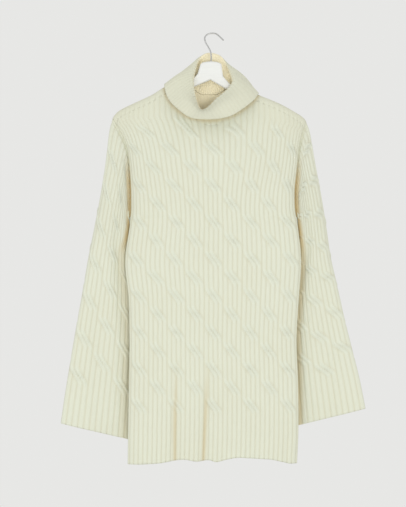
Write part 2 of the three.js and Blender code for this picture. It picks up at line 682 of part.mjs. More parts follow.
function sleeve(table, hand) {
  const tip = hand < 0 ? LEFT_TIP : RIGHT_TIP;
  const nearSide = hand < 0 ? -1 : 1;
  const seam = armholeSeam(hand).reverse();
  const loop = [
    ...seam.map(place => ({ place, side: nearSide })),
    ...seam.slice(1, -1).reverse().map(place => ({ place, side: -nearSide })),
  ];
  const seamChain = inside => loop.map(({ place, side }, k) => {
    const point = seamPoint(place, side, inside, SEAM);
    if (place.corner) point.y = 0;
    const share = k === 0 ? 0 : armholeShare(place.z, tip);
    return { at: side === nearSide ? share : 2 - share, point };
  });
  const last = sleeveRows.length - 1;
  return tube({
    rows: sleeveRows,
    blocks: cableBlocks(SLEEVE_CABLES, 0),
    rings: sleeveRows.map(row => sleeveRing(table, hand, row.height)),
    steps: SLEEVE_STEPS,
    innerSteps: countTo(SLEEVE_STEPS).filter(step => step % 4 === 0 || toFold(step) === 2),
    innerRows: countTo(last).filter(j => j % 3 === 0 || j >= last - 3),
    innerDepth: step => WALL + FOLD_EXTRA * smooth(-toFold(step), -5, -1),
    seamOuter: seamChain(false),
    seamInner: seamChain(true),
  });
}

// Collar

// The neck seam, once round from the left by the front: outer points, normals and the way up to the collar
function neckSeam(front, back) {
  const places = [front, back].flatMap(panel => {
    const points = panel.grid[BODY_TOP];
    return countTo(BODY_STEPS).slice(NECK_STEP, BODY_STEPS - NECK_STEP).map(step => {
      const normal = panel.normals[BODY_TOP][step];
      return { point: points[step].clone(), normal, onInner: onInnerFace(step) };
    });
  });
  places[0].point.y = 0;
  places[places.length / 2].point.y = 0;
  return places.map((place, k) => {
    const before = places[(k + places.length - 1) % places.length].point;
    const after = places[(k + 1) % places.length].point;
    const out = place.normal.clone().cross(after.clone().sub(before)).normalize();
    return { ...place, out, at: k / places.length };
  });
}

const collarRows = countTo(6).map(height => ({ height, always: true, faded: true, smoothed: height > 5 }));
const foldAt = turn => vec(...['foldX', 'foldY', 'foldZ'].map(column => reading(COLLAR, 'turn', column)(turn)));
const edgeAt = turn => vec(...['edgeX', 'edgeY', 'edgeZ'].map(column => reading(COLLAR, 'turn', column)(turn)));

// One section of the collar's showing face: turned-down edge, swell, over the fold, and down inside
function collarSection(turn, seamPlace, seamUp) {
  const edge = edgeAt(turn);
  const fold = foldAt(turn);
  const along = foldAt((turn + TURN_STEP) % 1).sub(foldAt((turn + 1 - TURN_STEP) % 1)).normalize();
  const squareTo = (from, to) => {
    const direction = to.clone().sub(from);
    return direction.addScaledVector(along, -direction.dot(along)).normalize();
  };
  const rising = fold.clone().sub(seamPlace).normalize();
  const start = seamPlace.clone().addScaledVector(rising.add(seamUp).normalize(), COLLAR_START);
  const down = squareTo(fold, edge);
  const inside = squareTo(fold, start);
  const up = down.clone().add(inside).negate().normalize();
  const centre = fold.clone().addScaledVector(up, -FOLD_RADIUS);
  const outward = down.clone().cross(along).normalize();
  const inward = along.clone().cross(inside).normalize();
  const overOut = centre.clone().addScaledVector(outward, FOLD_RADIUS);
  const overIn = centre.clone().addScaledVector(inward, FOLD_RADIUS);
  const swell = edge.clone().lerp(overOut, 0.5).addScaledVector(outward, reading(COLLAR, 'turn', 'swell')(turn));
  return [edge, swell, overOut, fold, overIn, overIn.clone().lerp(start, 0.5), start];
}

function collar(front, back) {
  const seam = neckSeam(front, back);
  const chain = depth => seam.map(({ point, normal, out, at }) => {
    return { at, out, point: point.clone().addScaledVector(normal, -depth).addScaledVector(out, NECK_GAP) };
  });
  const inner = chain(WALL).filter((place, k) => seam[k].onInner);
  const seamAt = (turn, key) => {
    const k = inner.findLastIndex(place => place.at <= turn);
    const next = inner[(k + 1) % inner.length];
    const end = k === inner.length - 1 ? 1 : next.at;
    return inner[k][key].clone().lerp(next[key], (turn - inner[k].at) / (end - inner[k].at));
  };
  const turns = countTo(COLLAR_STEPS).map(step => step / COLLAR_STEPS);
  const sections = turns.map(turn => collarSection(turn, seamAt(turn % 1, 'point'), seamAt(turn % 1, 'out')));
  return tube({
    rows: collarRows,
    blocks: [plainBlock(0, COLLAR_STEPS)],
    rings: collarRows.map((row, j) => ({ points: sections.map(section => section[j]), shares: turns })),
    steps: COLLAR_STEPS,
    innerSteps: countTo(COLLAR_STEPS).filter(step => step % 2 === 0),
    innerRows: [0, 1, 3, 5, 6],
    innerDepth: () => WALL,
    seamOuter: inner,
    seamInner: chain(0),
  });
}

// Hanger and hook

function hanger() {
  const wood = new THREE.Shape();
  const under = x => shoulderLine(x) - WOOD_DROP;
  wood.moveTo(-196, under(-196) - 3);
  for (const x of [-190, -170, -150, -128, -107, -86]) wood.lineTo(x, under(x));
  for (const { x, z } of WOOD_HEAD) wood.lineTo(x, z);
  for (const x of [72, 98, 120, 145, 165, 176]) wood.lineTo(x, under(x));
  for (const { x, z } of WOOD_UNDERSIDE) wood.lineTo(x, z);
  wood.closePath();
  const geometry = new THREE.ExtrudeGeometry(wood, {
    depth: WOOD_RIM,
    bevelThickness: (WOOD_THICK - WOOD_RIM) / 2,
    bevelSize: WOOD_ROUNDING,
    bevelOffset: -WOOD_ROUNDING,
    bevelSegments: 2,
  });
  geometry.rotateX(Math.PI / 2);
  geometry.translate(0, WOOD_RIM / 2, 0);
  return geometry;
}

function hook() {
  const path = new THREE.CatmullRomCurve3(HOOK.map(({ x, z }) => vec(x, 0, z)));
  const section = new THREE.Shape().absarc(0, 0, WIRE / 2, 0, 2 * Math.PI);
  return new THREE.ExtrudeGeometry(section, { steps: 24, curveSegments: 4, extrudePath: path });
}

function named(name, geometry, color, roughness, metalness) {
  const mesh = new THREE.Mesh(geometry, new THREE.MeshStandardMaterial({ name, color, roughness, metalness }));
  mesh.name = name;
  return mesh;
}

const frontPanel = bodyPanel(FRONT);
const backPanel = bodyPanel(BACK);
const dress = new THREE.Group();
dress.add(
  named('front', frontPanel.geometry, CREAM, 0.95, 0),
  named('back', backPanel.geometry, CREAM, 0.95, 0),
  named('sleeve_left', sleeve(LEFT_SLEEVE, -1), CREAM, 0.95, 0),
  named('sleeve_right', sleeve(RIGHT_SLEEVE, 1), CREAM, 0.95, 0),
  named('collar', collar(frontPanel, backPanel), CREAM, 0.95, 0),
  named('hanger', hanger(), WHITE, 0.4, 0),
  named('hook', hook(), STEEL, 0.35, 1),
);

export default dress;
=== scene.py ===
"""A cream cable-knit sweater dress with a turned-down turtleneck, on a white wooden hanger with a wire hook.

Shapes are worked out in millimetres from the hook's seat: x to the right in the photograph, y away from
the viewer, z up. They turn into metres where the meshes are made.
"""

import math

import bpy
import numpy as np
from mathutils import Matrix, Vector


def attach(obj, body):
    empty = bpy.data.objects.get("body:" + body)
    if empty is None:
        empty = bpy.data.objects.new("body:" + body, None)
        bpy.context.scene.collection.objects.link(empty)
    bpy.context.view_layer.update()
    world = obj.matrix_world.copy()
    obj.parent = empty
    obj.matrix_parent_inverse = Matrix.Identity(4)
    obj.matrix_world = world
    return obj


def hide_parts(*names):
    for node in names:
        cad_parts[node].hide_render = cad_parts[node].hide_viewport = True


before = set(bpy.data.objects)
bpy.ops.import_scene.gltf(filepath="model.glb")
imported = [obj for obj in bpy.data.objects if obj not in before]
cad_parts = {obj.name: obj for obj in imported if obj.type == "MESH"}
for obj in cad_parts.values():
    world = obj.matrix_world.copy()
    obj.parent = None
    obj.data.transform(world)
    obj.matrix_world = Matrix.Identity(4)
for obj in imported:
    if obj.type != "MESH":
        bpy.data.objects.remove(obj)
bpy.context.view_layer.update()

MM = 0.001

# Camera: a long lens, straight on, over the photograph's frame
FRAME_TALL = 1090.0
FRAME_X = -21.5
FRAME_Z = -471.9
DISTANCE = 4000.0
SENSOR = 36.0

# Cloth: its wall, half a seam's gap, and how far ribs sink below and rise above the wall
WALL = 3.0
SEAM = 0.15
RIB_DEEP = 0.4
RIB_RISE = 1.2
RIB_POWER = 3.2
POINTS_A_RIB = 6

# Cables: each column's crossings lie a drop apart, and half a drop from the next column's
CABLE_RIBS = 4
CROSS_DROP = 78.5
CROSS_TALL = 37.0
CROSS_ROOM = 12
# The pair that crosses: how far it lifts, how far its neighbours sink, where they end, a strand's width
LIFT = 1.8
SINK = 0.3
NEIGHBOURS = (1.0, 1.7)
STRAND = 0.92

# Body: ribs and cables across, plain ribs at each side, and the stretch over the hem without crossings
BODY_RIBS = 38
BODY_CABLES = 9
SIDE_RIBS = 1
HEM_Z = -925.0
PLAIN_HEM = 127.5
HIGHEST_CROSSING_Z = -190.0
HEM_WAVES_Z = -780
# From SQUEEZE_Z up the rows bend to follow the shoulders, and end in a ridge along them
SQUEEZE_Z = -260.0
SQUEEZE_TALL = 110.0
SQUEEZE_ROWS = 200
RIDGE = 16.0
RIDGE_DEPTH = 12.0
RIDGE_ROWS = (16, 13, 10, 7.5, 5.5, 3.6, 2, 0.8, 0)
# How far down from the shoulder the panel swells to its chest and falls back to its waist
CHEST_DOWN = (10, 190)
WAIST_DOWN = (330, 480)
# The neckline starts at this rib from each side and is level from this share of the way to the middle
NECK_RIB = 13.0
NECK_FLAT = 0.85
# Sections: where their depth is read, their superellipse powers below and above two heights, and the
# powers of a panel's section beside an open armhole and of a sleeve's
SECTION_X = -60.0
SECTION_POWERS = (3.0, 5.0)
SECTION_Z = (-400, -200)
CREASE_POWER = 12.0
TUBE_POWER = 2.5
# The ribs fan out towards the armholes over these heights
FAN_OUT = 0.2
FAN_Z = (-400, -230)
ARMPIT_Z = -393.2
ARMHOLE_BULGE = 9.3

# Folds drift from side to side on their way down
FOLD_DRIFT = 6
FOLD_WAVE = 120
FOLD_GROWS = 220
SHARP_FOLDS = 2
SHARP_WIDTH = 4.5

# The warm shade on a panel under the collar's free edge
EDGE_POINTS = 120
EDGE_SHADE = 5.0
FAR = 99.0


def table(columns, *rows):
    """A table of rows with named columns, as one array a column."""
    values = np.array(rows, float)
    return {name: values[:, k] for k, name in enumerate(columns.split())}


BODY_EDGE = table(
    "z left right",
    (-925, -183, 180), (-853, -182, 183), (-744, -180, 182), (-656, -179, 179), (-566, -181, 184),
    (-500, -188, 188.5), (-462, -186, 187.5), (-436, -182, 184.5), (-412, -178.5, 181.5),
    (-393.2, -177, 178.5), (-370, -176.3, 176), (-335, -176.3, 175.5), (-303, -178, 178.5),
    (-281, -179.5, 180.5), (-254, -182.5, 183), (-228, -190, 187.5), (-209, -199, 192.5), (-187, -212, 200),
    (-182, -216, 200),
)
SHOULDER = table(
    "x z",
    (-216, -182), (-212, -175), (-200.6, -164.3), (-168.6, -148.4), (-131.4, -130.9), (-106.9, -115.5),
    (-86, -105), (-6, -74), (72, -118), (98, -130.9), (144.9, -150.7), (184.3, -172.9), (194, -180),
    (200, -187),
)
HEM_LIFT = table(
    "x front back",
    (-183, 1, 1), (-139, 4, 5), (-104, 9.5, 11), (-76, 12, 14), (-46, 8, 10), (-16, 11, 13), (1, 7, 9),
    (25, 12, 9), (53, 16, 13), (80, 15, 17), (107, 13.5, 16), (135, 12, 14), (162, 7, 9), (180, 3, 4),
)
# Long soft folds as valleys: middle, width, depth, and the height that each grows in from
FRONT_FOLDS = table(
    "x width depth top",
    (-76, 15, 6, -640), (-18, 15, 6.5, -640), (60, 40, 2, -560), (100, 26, 3, -700), (163, 9, 4, -780),
    (-140, 24, 2.2, -600),
)
BACK_FOLDS = table(
    "x width depth top",
    (-110, 24, 3.5, -600), (-35, 26, 4, -660), (48, 22, 4, -620), (120, 28, 3, -560),
)
FRONT = {"side": -1, "neck_z": -181.0, "chest": 14.0, "waist": 11.0, "hem": "front", "folds": FRONT_FOLDS}
BACK = {"side": 1, "neck_z": -130.0, "chest": 9.0, "waist": 8.0, "hem": "back", "folds": BACK_FOLDS}

# Sleeves, from the cuff up: the outer fold, the inner fold, half the depth, and how the ribs crowd inwards
SLEEVE_RIBS = 32
SLEEVE_CABLES = 8
SLEEVE_LONG = 672.0
PLAIN_CUFF = 109.0
PLAIN_TOP = 40
SLEEVE_ROWS = np.concatenate((np.linspace(0, 0.945, 176), np.linspace(0.95, 1, 14)))
# The sleeve sinks into a valley just below its armhole seam
VALLEY = 5.0
VALLEY_DOWN = 7
VALLEY_WIDTH = 5
# Relief fades where the ribs crowd closer than this
FULL_PITCH = 9
SLEEVE_COLUMNS = "up outX outY outZ inX inY inZ half crowd"
LEFT_SLEEVE = table(
    SLEEVE_COLUMNS,
    (0, -327.7, 12, -838, -135, 42, -885, 13, 0), (0.1, -318, 12, -772, -133, 42, -818, 14, 0),
    (0.3, -294.6, 10, -634, -133, 42, -683, 16, 0), (0.42, -279.5, 9, -552, -146, 42, -600, 18, 0.2),
    (0.52, -267.2, 8, -482, -163, 41, -532, 20, 0.5), (0.6, -256, 7, -427, -177, 35, -484, 23, 0.9),
    (0.67, -247, 5, -380, -178, 28, -453, 26, 1.1), (0.75, -238, 4, -328, -178, 22, -431, 26, 1.1),
    (0.84, -229.5, 2, -270, -180, 13, -413, 22, 0.9), (0.93, -223, 0, -214, -183, 5, -402, 16.5, 0.7),
    (0.965, -220, 0, -198, -183, 2, -399, 14.5, 0.6), (0.985, -218, 0, -190, -181, 0.8, -396.4, 12, 0.6),
    (1, -216, 0, -182, -177, 0, -393.2, 9.3, 0.6),
)
RIGHT_SLEEVE = table(
    SLEEVE_COLUMNS,
    (0, 328.5, 12, -806, 135, 42, -856, 13, 0), (0.1, 315, 12, -740, 134, 42, -792, 14, 0),
    (0.3, 284, 10, -618, 138, 42, -668, 16, 0), (0.42, 265, 9, -535, 149, 42, -588, 18, 0.2),
    (0.52, 252, 8, -480, 166, 41, -527, 20, 0.5), (0.6, 244.5, 7, -430, 181, 35, -485, 23, 0.9),
    (0.67, 238, 5, -386, 181, 28, -454, 26, 1.1), (0.75, 230, 4, -336, 181, 22, -433, 25, 1.1),
    (0.84, 219, 2, -277, 183, 13, -414, 21, 0.9), (0.93, 209, 0, -219, 185, 5, -402, 16, 0.7),
    (0.965, 205, 0, -203, 185, 2, -399, 14, 0.6), (0.985, 202.5, 0, -195, 182.5, 0.8, -396.4, 12, 0.6),
    (1, 200, 0, -187, 178.5, 0, -393.2, 9.3, 0.6),
)

# Collar, once round from the left by the front
COLLAR_RIBS = 64
FOLD_RADIUS = 4.5
TURN_STEP = 0.02
COLLAR_START = 3.0
# How far the collar's inner edge stands over the neck seam
SEAM_STEP = 0.4
EDGE_NAMES = ("edgeX", "edgeY", "edgeZ")
FOLD_NAMES = ("foldX", "foldY", "foldZ")
# Rows between the collar's knots, from its free edge over the fold to the neck seam
COLLAR_CUTS = (13, 12, 4, 4, 12, 10, 2)
COLLAR = table(
    "turn foldX foldY foldZ edgeX edgeY edgeZ swell",
    (0, -37, 0, -76, -104, -2, -108, 6), (0.03, -40, -7, -88, -104.5, -15, -114, 7),
    (0.07, -42, -14, -100, -99, -27, -134, 7), (0.14, -40, -21, -124, -82, -44, -159, 8),
    (0.21, -34, -27, -150, -56, -57, -178, 8), (0.265, -26, -30, -164, -27, -64, -186, 7),
    (0.31, -12, -30, -160, 3, -65, -187, 7), (0.36, 6, -28, -142, 33, -59, -180, 8),
    (0.42, 29, -21, -122, 61, -48, -166, 8), (0.465, 41, -15, -105, 85, -31, -147, 7),
    (0.495, 40, -6, -93, 96, -14, -131, 7), (0.52, 37, 3, -84, 98, 1, -125, 6),
    (0.6, 28, 17, -62, 86, 28, -124, 7), (0.7, 15, 24, -44, 45, 46, -136, 6),
    (0.8, -8, 26, -38, -6, 48, -140, 5), (0.88, -23, 21, -44, -52, 43, -136, 5),
    (0.95, -32, 11, -58, -88, 25, -118, 6), (1, -37, 0, -76, -104, -2, -108, 6),
)

# Wooden hanger and wire hook
WOOD_THICK = 11.0
WOOD_ROUND = 4.4
WOOD_DROP = 5.2
# The arms lie along the shoulders, read at these places
WOOD_LEFT = (-190, -170, -150, -128, -107, -86)
WOOD_RIGHT = (72, 98, 120, 145, 165, 176)
WOOD_HEAD = [
    (-60, -99), (-38, -91), (-33, -85), (-30, -75), (-27, -65), (-22.5, -61.5), (-16, -60), (-4.3, -58.7),
    (8, -60), (14, -62), (18, -65), (20, -78), (22, -91), (34, -105), (58, -119.5),
]
WOOD_UNDERSIDE = [
    (182, -184), (176, -196), (145, -182), (98, -161), (72, -146), (29, -119.5), (-5.6, -99), (-41.7, -114.6),
    (-100, -144), (-150, -167), (-190, -184), (-198, -176),
]
WIRE_RADIUS = 1.5
WIRE_ROWS = 91
WIRE_TIP_ROWS = 6
WIRE_SIDES = 16
HOOK = [
    (-4.3, -60), (-3.9, -47.3), (-5.6, -37.4), (-10.5, -27.5), (-16.1, -17.6), (-17.8, -8.5), (-13.6, -1.9),
    (-7, 1), (0, 1.6), (7, 0.2), (14.2, -5.5), (22, -13),
]


def lerp(a, b, t):
    return a + (b - a) * t


def smooth(x, low, high):
    """A soft step from 0 at low to 1 at high."""
    t = np.clip((x - low) / (high - low), 0, 1)
    return t * t * (3 - 2 * t)


def hermite(t, start, end, start_slope, end_slope, step):
    """A cubic from start to end with a slope at each, over a stretch of length step."""
    t2, t3 = t * t, t * t * t
    first = (2 * t3 - 3 * t2 + 1) * start + (t3 - 2 * t2 + t) * step * start_slope
    return first + (3 * t2 - 2 * t3) * end + (t3 - t2) * step * end_slope


def reading(columns, key, column):
    """A smooth curve through one column of a table, by the rising values of its key column."""
    xs, ys = columns[key], columns[column]
    before = np.maximum(np.arange(len(xs)) - 1, 0)
    after = np.minimum(np.arange(len(xs)) + 1, len(xs) - 1)
    slopes = (ys[after] - ys[before]) / (xs[after] - xs[before])

    def at(x):
        x = np.clip(x, xs[0], xs[-1])
        i = np.clip(np.searchsorted(xs, x, side="right") - 1, 0, len(xs) - 2)
        step = xs[i + 1] - xs[i]
        return hermite((x - xs[i]) / step, ys[i], ys[i + 1], slopes[i], slopes[i + 1], step)

    return at


def rounded(s, power):
    """Superellipse height over a half width of one."""
    return np.maximum(1 - np.abs(s) ** power, 0) ** (1 / power)


# Shares of the way across a section, closer together at both ends
SAMPLES = (1 - np.cos(np.linspace(0, math.pi, 241))) / 2


def even_places(points, count, weight=None):
    """Places along a curve, given at SAMPLES, that cut it into equal lengths, or equal weighted ones."""
    lengths = np.linalg.norm(np.diff(points, axis=0), axis=1)
    if weight is not None:
        lengths = lengths * (weight[1:] + weight[:-1]) / 2
    total = np.concatenate(([0], np.cumsum(lengths)))
    return np.interp(np.linspace(0, total[-1], count + 1), total, SAMPLES)


def unit(v):
    return v / np.maximum(np.linalg.norm(v, axis=-1, keepdims=True), 1e-9)


def grid_normals(grid, wraps):
    """Outward normals of a grid of rows going up and columns going right as seen from outside."""
    if wraps:
        body = grid[:, :-1]
        right = np.roll(body, -1, axis=1) - np.roll(body, 1, axis=1)
        right = np.concatenate((right, right[:, :1]), axis=1)
    else:
        right = np.empty_like(grid)
        right[:, 1:-1] = grid[:, 2:] - grid[:, :-2]
        right[:, 0] = grid[:, 1] - grid[:, 0]
        right[:, -1] = grid[:, -1] - grid[:, -2]
    up = np.empty_like(grid)
    up[1:-1] = grid[2:] - grid[:-2]
    up[0] = grid[1] - grid[0]
    up[-1] = grid[-1] - grid[-2]
    return unit(np.cross(right, up))


# Knit

def dome(away, power=RIB_POWER):
    """Profile of one rib over its width, round on top with a narrow valley at each side."""
    return np.maximum(1 - np.abs(2 * away) ** power, 0) ** 0.8


def cable_relief(ribs, heights, first_rib, cables, start, limit):
    """Height of the knit over its wall: ribs, and at each crossing a pair that runs over its neighbours."""
    u = np.broadcast_to(ribs, heights.shape)
    relief = dome(u - np.floor(u) - 0.5)
    for k in range(cables):
        place = u - (first_rib + CABLE_RIBS * k)
        offset = start + (CROSS_DROP / 2 if k % 2 else 0)
        level = np.maximum(np.round((heights - offset) / CROSS_DROP), 0)
        centre = offset + level * CROSS_DROP
        t = (heights - centre) / CROSS_TALL + 0.5
        crossing = (place >= 0) & (place <= CABLE_RIBS) & (t > 0) & (t < 1) & (centre + CROSS_ROOM <= limit)
        shift = CABLE_RIBS / 2 * smooth(t, 0, 1)
        bump = np.sin(math.pi * np.clip(t, 0, 1)) ** 0.7
        beside = bump * (1 - smooth(np.abs(place - (CABLE_RIBS * 3 / 4 - shift)), *NEIGHBOURS))
        crossed = lerp(relief, 0.5 * relief - SINK / RIB_RISE, beside)
        for strand in range(CABLE_RIBS // 2, CABLE_RIBS):
            away = place - (strand + 0.5 - shift)
            height = dome(np.clip(away / STRAND, -0.5, 0.5), 2.0) * (1 + LIFT / RIB_RISE * bump)
            crossed = np.maximum(crossed, np.where(np.abs(away) < STRAND / 2, height, -1.0))
        relief = np.where(crossing, crossed, relief)
    return relief * (RIB_RISE + RIB_DEEP) - RIB_DEEP


# Body

left_edge = reading(BODY_EDGE, "z", "left")
right_edge = reading(BODY_EDGE, "z", "right")
shoulder_line = reading(SHOULDER, "x", "z")
LEFT_TIP = (SHOULDER["x"][0], SHOULDER["z"][0])
RIGHT_TIP = (SHOULDER["x"][-1], SHOULDER["z"][-1])


def armhole_bulge(z, tip_z):
    """How far a panel's edge stands off the seam plane: almost nothing, but open between tip and armpit."""
    share = np.clip((tip_z - z) / (tip_z - ARMPIT_Z), 0, 1)
    return SEAM + np.where(z > ARMPIT_Z, ARMHOLE_BULGE * rounded(2 * share - 1, TUBE_POWER), 0)


def spread(t, z):
    """Places across the body, from -1 to 1, fanned out towards the armholes."""
    return t + FAN_OUT * smooth(z, *FAN_Z) * (t - t**3)


def body_depth(panel, x, z):
    """How far a panel stands off the seam plane: ridge, chest and waist."""
    down = shoulder_line(x) - z
    ridge = RIDGE_DEPTH * np.sqrt(1 - (1 - np.clip(down / RIDGE, 0, 1)) ** 2)
    chest = panel["chest"] * smooth(down, *CHEST_DOWN)
    return ridge + chest - (panel["chest"] - panel["waist"]) * smooth(down, *WAIST_DOWN)


def folds_near(panel, x, z):
    """For each fold, how far a place lies beside its middle, then its width, depth and top."""
    for fold_x, width, depth, top in zip(*panel["folds"].values()):
        yield x - fold_x - FOLD_DRIFT * np.sin(z / FOLD_WAVE + fold_x), width, depth, top


def fold_depth(panel, x, z):
    """How deep the folds sink a panel."""
    total = np.zeros_like(x)
    for away, width, depth, top in folds_near(panel, x, z):
        total += depth * smooth(-z, -top, -top + FOLD_GROWS) * np.exp(-2 * (away / width) ** 2)
    return total


def fold_shade(panel, x, z):
    """How dark the bottoms of a panel's first folds are, from 0 to about 1."""
    total = np.zeros_like(x)
    for away, _, depth, top in list(folds_near(panel, x, z))[:SHARP_FOLDS]:
        total += depth / 6 * smooth(-z, -top + 40, -top + 200) * np.exp(-((away / SHARP_WIDTH) ** 2))
    return total


def section_shape(s, bulge, power):
    """A section's depth from edge to edge: round where it is shut, nearly flat where the armhole is open."""
    return lerp(rounded(s, power), 1 - np.abs(s) ** CREASE_POWER, np.clip(bulge / 6, 0, 1))


# Rows of a panel: knit height, and how far below the top edge where it lies on the ridge
BODY_ROWS = [(h, None) for h in np.linspace(HEM_Z, SQUEEZE_Z + SQUEEZE_TALL, SQUEEZE_ROWS)]
BODY_ROWS += [(SQUEEZE_Z + SQUEEZE_TALL + RIDGE - below, below) for below in RIDGE_ROWS]


def body_grid(panel):
    """The bare panel by row and column, to the right as seen from outside, with ribs and knit heights."""
    count = BODY_RIBS * POINTS_A_RIB
    ribs = np.arange(count + 1) / POINTS_A_RIB
    to_side = np.minimum(ribs, BODY_RIBS - ribs)
    into_neck = np.clip((to_side - NECK_RIB) / (NECK_FLAT * (BODY_RIBS / 2 - NECK_RIB)), 0, 1)
    hem = reading(HEM_LIFT, "x", panel["hem"])
    s = 2 * SAMPLES - 1
    grid = []
    for height, below in BODY_ROWS:
        if below is None:
            level = height
            power = lerp(*SECTION_POWERS, float(smooth(level, *SECTION_Z)))
            depth = float(body_depth(panel, SECTION_X, level))
        else:
            level = LEFT_TIP[1]
            power = SECTION_POWERS[1]
            depth = RIDGE_DEPTH * min(1, below / 5)
        width = float(right_edge(level) - left_edge(level))
        shape = depth * section_shape(s, float(armhole_bulge(level, LEFT_TIP[1])), power)
        places = even_places(np.stack((s * width / 2, shape), axis=1), count)
        t = spread(2 * places - 1, level)
        x = lerp(LEFT_TIP[0], RIGHT_TIP[0], (1 + t) / 2)
        top = lerp(shoulder_line(x), panel["neck_z"], (1 - np.cos(math.pi * into_neck)) / 2)
        if below is not None:
            z = top - below
        elif height <= SQUEEZE_Z:
            z = height + hem(x) * smooth(-height, -HEM_WAVES_Z, -HEM_Z)
        else:
            share = (height - SQUEEZE_Z) / SQUEEZE_TALL
            z = SQUEEZE_Z + SQUEEZE_TALL * share
            z = z + (top - RIDGE - SQUEEZE_Z - SQUEEZE_TALL) * share * share
        x = lerp(left_edge(z), right_edge(z), (1 + t) / 2)
        bulge = np.where(t < 0, armhole_bulge(z, LEFT_TIP[1]), armhole_bulge(z, RIGHT_TIP[1]))
        full = body_depth(panel, x, z) - fold_depth(panel, x, z)
        off = bulge + np.maximum(full - bulge, 0) * section_shape(t, bulge, power)
        if below == 0:
            off = np.where(to_side <= NECK_RIB, SEAM, off)
        grid.append(np.stack((x, panel["side"] * off, z), axis=1))
    grid = np.array(grid)
    if panel["side"] > 0:
        grid = grid[:, ::-1]
    heights = np.array([h for h, _ in BODY_ROWS])
    return grid, ribs, heights


def under_collar(grid):
    """How near a panel's points lie to the collar's free edge, from 0 to 1."""
    turn = np.linspace(0, 1, EDGE_POINTS, endpoint=False)
    edge = np.stack([reading(COLLAR, "turn", name)(turn) for name in EDGE_NAMES], axis=1)
    away = np.full(grid.shape[:2], FAR)
    for point in edge:
        near = np.hypot(grid[..., 0] - point[0], grid[..., 2] - point[2])
        away = np.minimum(away, np.where(grid[..., 1] * point[1] > 0, near, FAR))
    return np.exp(-((away / EDGE_SHADE) ** 2))


def panel_mesh(panel):
    """A panel with all that knit_object needs: grid, normals, relief, ribs, knit heights and shade."""
    grid, ribs, heights = body_grid(panel)
    to_side = np.minimum(ribs, BODY_RIBS - ribs)
    normals = grid_normals(grid, False)
    # Seam edges face along the seam plane, so that neighbours don't run into each other
    below_arm = grid[:, 0, 2] < ARMPIT_Z
    for edge in (0, -1):
        normals[below_arm, edge, 1] = 0
    normals[-1, to_side <= NECK_RIB, 1] = 0
    normals = unit(normals)
    knit_heights = np.broadcast_to(heights[:, None], grid.shape[:2])
    reach = HEM_Z + PLAIN_HEM, HIGHEST_CROSSING_Z
    relief = cable_relief(ribs[None, :], knit_heights, SIDE_RIBS, BODY_CABLES, *reach)
    # It fades at the side seams, at the top edge and towards the shoulders
    relief = relief * smooth(to_side, -0.4, 0.9)[None, :]
    relief = relief * smooth((heights[-1] - heights)[:, None], -4, 14)
    relief = relief * (0.45 + 0.55 * smooth(shoulder_line(grid[..., 0]) - grid[..., 2], 12, 90))
    shaded = 0.5 * under_collar(grid) + 0.42 * fold_shade(panel, grid[..., 0], grid[..., 2])
    return dict(grid=grid, normals=normals, relief=relief, ribs=ribs, heights=heights, shaded=shaded)


# Sleeves

def sleeve_wall(value, up, edge, tip):
    """One row's wall, as a function of the share of the way in from the outer fold, and of the side."""
    outer = np.array([value["outX"], value["outY"], value["outZ"]])
    across = np.array([value["inX"], value["inY"], value["inZ"]]) - outer
    face = np.array([0.0, -1.0, 0.0])
    face -= across * (face @ across) / (across @ across)
    face /= np.linalg.norm(face)
    grown = float(smooth(up, 0.62, 1))
    valley = VALLEY * math.exp(-(((1 - up) * SLEEVE_LONG - VALLEY_DOWN) / VALLEY_WIDTH) ** 2)
    slack = float(smooth(up, 0.0, 0.2) + 0.4)

    def wall(w, side):
        straight = lerp(tip[0], float(edge(ARMPIT_Z)), w)
        bow = grown * (edge(lerp(tip[1], ARMPIT_Z, w)) - straight)
        points = outer + across * w[:, None] + np.stack((bow, 0 * w, 0 * w), axis=1)
        wave = 2.2 * np.sin(2 * math.pi * (2.3 * w + 1.1 * up + (0.3 if side < 0 else 0.7)))
        ease = (1 - grown) * (1 - (2 * w - 1) ** 2) * slack / 1.4
        arch = rounded(2 * w - 1, TUBE_POWER)
        bulge = side * (value["half"] * arch - valley * arch)
        return points - face * (bulge + wave * ease)[:, None]

    return wall


def armhole_shade(grid, normals, hand, edge):
    """Warm shade on a sleeve's front beside the body's edge, from 0 to 1; the left one fades lower down."""
    z = grid[..., 2]
    away = np.maximum(np.abs(grid[..., 0]) - np.abs(edge(z)), 0)
    low_down, reach = (0.22, 26) if hand < 0 else (0.55, 17)
    lower = smooth(-z, 430, 480)
    strength = smooth(-z, 250, 330) * lerp(1.0, low_down, lower)
    beside = 1 - smooth(away / lerp(13, reach, lower), 0.25, 1)
    return 0.9 * strength * beside * smooth(-normals[..., 1], 0.1, 0.5)


